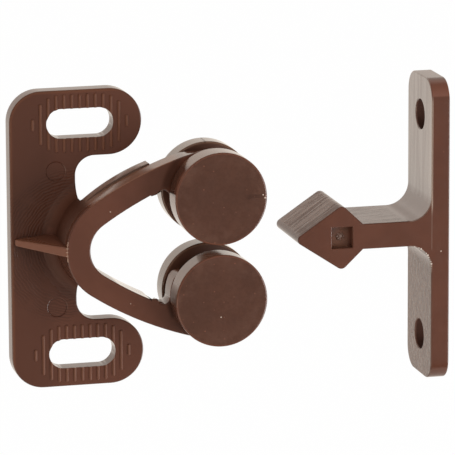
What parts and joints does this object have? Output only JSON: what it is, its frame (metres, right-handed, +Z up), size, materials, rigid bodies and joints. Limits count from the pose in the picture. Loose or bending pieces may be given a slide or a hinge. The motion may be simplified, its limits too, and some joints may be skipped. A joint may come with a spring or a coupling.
{
  "type": "rotary catch",
  "caption": "Plastic cabinet catch: a slotted plate with a sprung fork that holds spool rollers, and an arrow-headed striker that parts them.",
  "frame": {"origin": "middle of the slot pattern, on the mounting face of the catch's plate", "axes": "+X from the catch towards the striker, +Y into the surface that the catch is screwed to, +Z up along the plate"},
  "size_m": [0.0556, 0.0141, 0.0394],
  "materials": {
    "catch_moulding": "satin brown acetal, as moulded",
    "roller_moulding": "satin brown acetal, as moulded",
    "striker_moulding": "satin brown acetal, as moulded"
  },
  "bodies": {
    "catch": {"catch_body": "catch_moulding"},
    "upper_roller": {"upper_roller": "roller_moulding"},
    "lower_roller": {"lower_roller": "roller_moulding"},
    "striker": {"striker": "striker_moulding"}
  },
  "joints": [
    {"name": "upper_roller_spin", "type": "hinge", "parent": "catch", "child": "upper_roller", "pos_m": [0.01555, -0.00877, 0.00658], "axis": [0, 1, 0], "continuous": true},
    {"name": "lower_roller_spin", "type": "hinge", "parent": "catch", "child": "lower_roller", "pos_m": [0.01555, -0.00877, -0.00658], "axis": [0, 1, 0], "continuous": true},
    {"name": "striker_slide", "type": "slide", "parent": "catch", "child": "striker", "axis": [-1, 0, 0], "range_m": [-0.02, 0.0087]}
  ]
}
